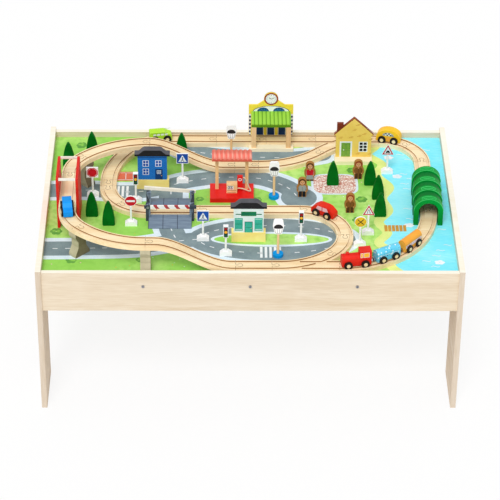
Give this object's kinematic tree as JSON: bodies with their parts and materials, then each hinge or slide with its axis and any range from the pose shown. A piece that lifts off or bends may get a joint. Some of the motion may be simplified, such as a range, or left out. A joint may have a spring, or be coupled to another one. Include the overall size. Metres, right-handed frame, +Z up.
{
  "type": "train table",
  "caption": "Low wooden play table with a railed tray that holds a grooved wooden railway, a bridge, a tunnel, toy buildings, signs and rolling vehicles.",
  "frame": {"origin": "on the ground under the middle of the table", "axes": "+X along the table to the viewer's right, +Y away from the viewer, +Z up"},
  "size_m": [1, 0.634, 0.5215],
  "materials": {
    "birch": "clear lacquer, satin",
    "beech": "clear lacquer, satin",
    "green_print": "printed paper on board, satin",
    "steel": "zinc plated",
    "red_paint": "painted, satin",
    "white_paint": "painted, satin",
    "grey_paint": "painted, satin",
    "slate_paint": "painted, satin",
    "tunnel_green": "moulded, satin",
    "yellow_paint": "painted and printed, satin",
    "lime_plastic": "corrugated sheet, satin",
    "blue_paint": "painted and printed, satin",
    "mint_paint": "painted and printed, satin",
    "black_paint": "painted, satin",
    "salmon_plastic": "corrugated sheet, satin",
    "cotton_cord": "twisted cotton",
    "tree_green": "painted and printed, satin",
    "figure_print": "painted and printed, satin",
    "sign_print": "painted and printed, satin",
    "lamp_print": "painted and printed, satin",
    "wheel_black": "moulded, satin",
    "sky_paint": "painted and printed, satin",
    "orange_paint": "painted and printed, satin",
    "taxi_paint": "painted and printed, satin",
    "lime_paint": "painted and printed, satin"
  },
  "bodies": {
    "table": {"front_apron": "birch", "back_apron": "birch", "left_end_panel": "birch", "right_end_panel": "birch", "floor_boards": "green_print", "cross_rails": "birch", "rail_screws": "steel", "panel_bolts": "steel", "barrel_nuts": "steel", "straight_tracks": "beech", "curve_tracks": "beech", "switch_tracks": "beech", "ramp_tracks": "beech", "bridge_gate": "red_paint", "bridge_bars": "white_paint", "track_piers": "grey_paint", "crossing_ramps": "slate_paint", "barrier_pins": "steel", "tunnel": "tunnel_green", "station_platform": "beech", "station_wall": "yellow_paint", "station_canopy": "lime_plastic", "cottage_house": "yellow_paint", "house_bases": "yellow_paint", "blue_house": "blue_paint", "shop": "mint_paint", "house_roofs": "black_paint", "fuel_base": "red_paint", "fuel_pumps": "beech", "fuel_roof": "salmon_plastic", "fuel_hose": "cotton_cord", "trees": "tree_green", "figures": "figure_print", "sign_stands": "white_paint", "sign_plates": "sign_print", "traffic_lights": "white_paint", "street_lamps": "lamp_print"},
    "front_barrier": {"front_barrier_arm": "white_paint"},
    "rear_barrier": {"rear_barrier_arm": "white_paint"},
    "loco": {"loco": "red_paint"},
    "dotted_wagon": {"dotted_wagon": "sky_paint"},
    "orange_wagon": {"orange_wagon": "orange_paint"},
    "red_car": {"red_car": "red_paint"},
    "taxi": {"taxi": "taxi_paint"},
    "van": {"van": "lime_paint"},
    "blue_car": {"blue_car": "blue_paint"},
    "loco_front_wheels": {"loco_front_wheels": "wheel_black"},
    "loco_rear_wheels": {"loco_rear_wheels": "wheel_black"},
    "dotted_wagon_front_wheels": {"dotted_wagon_front_wheels": "wheel_black"},
    "dotted_wagon_rear_wheels": {"dotted_wagon_rear_wheels": "wheel_black"},
    "orange_wagon_front_wheels": {"orange_wagon_front_wheels": "wheel_black"},
    "orange_wagon_rear_wheels": {"orange_wagon_rear_wheels": "wheel_black"},
    "red_car_front_wheels": {"red_car_front_wheels": "wheel_black"},
    "red_car_rear_wheels": {"red_car_rear_wheels": "wheel_black"},
    "taxi_front_wheels": {"taxi_front_wheels": "wheel_black"},
    "taxi_rear_wheels": {"taxi_rear_wheels": "wheel_black"},
    "van_front_wheels": {"van_front_wheels": "wheel_black"},
    "van_rear_wheels": {"van_rear_wheels": "wheel_black"},
    "blue_car_front_wheels": {"blue_car_front_wheels": "wheel_black"},
    "blue_car_rear_wheels": {"blue_car_rear_wheels": "wheel_black"}
  },
  "joints": [
    {"name": "front_barrier_lift", "type": "hinge", "parent": "table", "child": "front_barrier", "pos_m": [-0.2435, -0.07835, 0.4245], "axis": [0, -1, 0], "range_deg": [0, 80]},
    {"name": "rear_barrier_lift", "type": "hinge", "parent": "table", "child": "rear_barrier", "pos_m": [-0.1385, -0.00995, 0.4245], "axis": [0, 1, 0], "range_deg": [-5, 75]},
    {"name": "loco_travel", "type": "hinge", "parent": "table", "child": "loco", "pos_m": [0.209, -0.051, 0.3935], "axis": [0, 0, -1], "range_deg": [-34, 4]},
    {"name": "dotted_wagon_travel", "type": "hinge", "parent": "table", "child": "dotted_wagon", "pos_m": [0.209, -0.051, 0.3935], "axis": [0, 0, -1], "range_deg": [-34.1, 4.1]},
    {"name": "orange_wagon_travel", "type": "hinge", "parent": "table", "child": "orange_wagon", "pos_m": [0.209, -0.051, 0.3935], "axis": [0, 0, -1], "range_deg": [-34.1, 4.1]},
    {"name": "red_car_travel", "type": "hinge", "parent": "table", "child": "red_car", "pos_m": [0.12315, -0.14815, 0.3935], "axis": [0, 0, -1], "range_deg": [-24, 88]},
    {"name": "taxi_travel", "type": "hinge", "parent": "table", "child": "taxi", "pos_m": [0.329, 0.171, 0.3935], "axis": [0, 0, -1], "range_deg": [-6, 65]},
    {"name": "van_travel", "type": "hinge", "parent": "table", "child": "van", "pos_m": [-0.20585, 0.171, 0.3935], "axis": [0, 0, -1], "range_deg": [-27, 0]},
    {"name": "blue_car_travel", "type": "hinge", "parent": "table", "child": "blue_car", "pos_m": [-0.329, -0.13585, 0.4605], "axis": [0, 0, 1], "range_deg": [0, 26]},
    {"name": "loco_front_wheels_roll", "type": "hinge", "parent": "loco", "child": "loco_front_wheels", "pos_m": [0.22677, -0.27429, 0.4007], "axis": [0.1702, -0.9854, 0], "continuous": true},
    {"name": "loco_rear_wheels_roll", "type": "hinge", "parent": "loco", "child": "loco_rear_wheels", "pos_m": [0.26717, -0.26732, 0.4007], "axis": [0.1702, -0.9854, 0], "continuous": true},
    {"name": "dotted_wagon_front_wheels_roll", "type": "hinge", "parent": "dotted_wagon", "child": "dotted_wagon_front_wheels", "pos_m": [0.30535, -0.25322, 0.4007], "axis": [0.4993, -0.8664, 0], "continuous": true},
    {"name": "dotted_wagon_rear_wheels_roll", "type": "hinge", "parent": "dotted_wagon", "child": "dotted_wagon_rear_wheels", "pos_m": [0.33567, -0.23574, 0.4007], "axis": [0.4993, -0.8664, 0], "continuous": true},
    {"name": "orange_wagon_front_wheels_roll", "type": "hinge", "parent": "orange_wagon", "child": "orange_wagon_front_wheels", "pos_m": [0.36666, -0.21012, 0.4007], "axis": [0.7572, -0.6532, 0], "continuous": true},
    {"name": "orange_wagon_rear_wheels_roll", "type": "hinge", "parent": "orange_wagon", "child": "orange_wagon_rear_wheels", "pos_m": [0.38952, -0.18362, 0.4007], "axis": [0.7572, -0.6532, 0], "continuous": true},
    {"name": "red_car_front_wheels_roll", "type": "hinge", "parent": "red_car", "child": "red_car_front_wheels", "pos_m": [0.19351, -0.07157, 0.4007], "axis": [0.5592, 0.829, 0], "continuous": true},
    {"name": "red_car_rear_wheels_roll", "type": "hinge", "parent": "red_car", "child": "red_car_rear_wheels", "pos_m": [0.16781, -0.05423, 0.4007], "axis": [0.5592, 0.829, 0], "continuous": true},
    {"name": "taxi_front_wheels_roll", "type": "hinge", "parent": "taxi", "child": "taxi_front_wheels", "pos_m": [0.37059, 0.26632, 0.4007], "axis": [0.2588, 0.9659, 0], "continuous": true},
    {"name": "taxi_rear_wheels_roll", "type": "hinge", "parent": "taxi", "child": "taxi_rear_wheels", "pos_m": [0.34064, 0.27435, 0.4007], "axis": [0.2588, 0.9659, 0], "continuous": true},
    {"name": "van_front_wheels_roll", "type": "hinge", "parent": "van", "child": "van_front_wheels", "pos_m": [-0.20572, 0.275, 0.4007], "axis": [-0.1478, 0.989, 0], "continuous": true},
    {"name": "van_rear_wheels_roll", "type": "hinge", "parent": "van", "child": "van_rear_wheels", "pos_m": [-0.23638, 0.27042, 0.4007], "axis": [-0.1478, 0.989, 0], "continuous": true},
    {"name": "blue_car_front_wheels_roll", "type": "hinge", "parent": "blue_car", "child": "blue_car_front_wheels", "pos_m": [-0.42918, -0.16377, 0.4677], "axis": [0.9925, 0.1219, 0], "continuous": true},
    {"name": "blue_car_rear_wheels_roll", "type": "hinge", "parent": "blue_car", "child": "blue_car_rear_wheels", "pos_m": [-0.43296, -0.133, 0.4677], "axis": [0.9925, 0.1219, 0], "continuous": true}
  ],
  "couplings": [
    {"joint": "dotted_wagon_travel", "follows": "loco_travel", "ratio": 1},
    {"joint": "orange_wagon_travel", "follows": "loco_travel", "ratio": 1},
    {"joint": "loco_front_wheels_roll", "follows": "loco_travel", "ratio": 22.4},
    {"joint": "loco_rear_wheels_roll", "follows": "loco_travel", "ratio": 22.4},
    {"joint": "dotted_wagon_front_wheels_roll", "follows": "loco_travel", "ratio": 22.4},
    {"joint": "dotted_wagon_rear_wheels_roll", "follows": "loco_travel", "ratio": 22.4},
    {"joint": "orange_wagon_front_wheels_roll", "follows": "loco_travel", "ratio": 22.4},
    {"joint": "orange_wagon_rear_wheels_roll", "follows": "loco_travel", "ratio": 22.4},
    {"joint": "red_car_front_wheels_roll", "follows": "red_car_travel", "ratio": 10.4},
    {"joint": "red_car_rear_wheels_roll", "follows": "red_car_travel", "ratio": 10.4},
    {"joint": "taxi_front_wheels_roll", "follows": "taxi_travel", "ratio": 10.4},
    {"joint": "taxi_rear_wheels_roll", "follows": "taxi_travel", "ratio": 10.4},
    {"joint": "van_front_wheels_roll", "follows": "van_travel", "ratio": 10.4},
    {"joint": "van_rear_wheels_roll", "follows": "van_travel", "ratio": 10.4},
    {"joint": "blue_car_front_wheels_roll", "follows": "blue_car_travel", "ratio": 10.4},
    {"joint": "blue_car_rear_wheels_roll", "follows": "blue_car_travel", "ratio": 10.4}
  ]
}
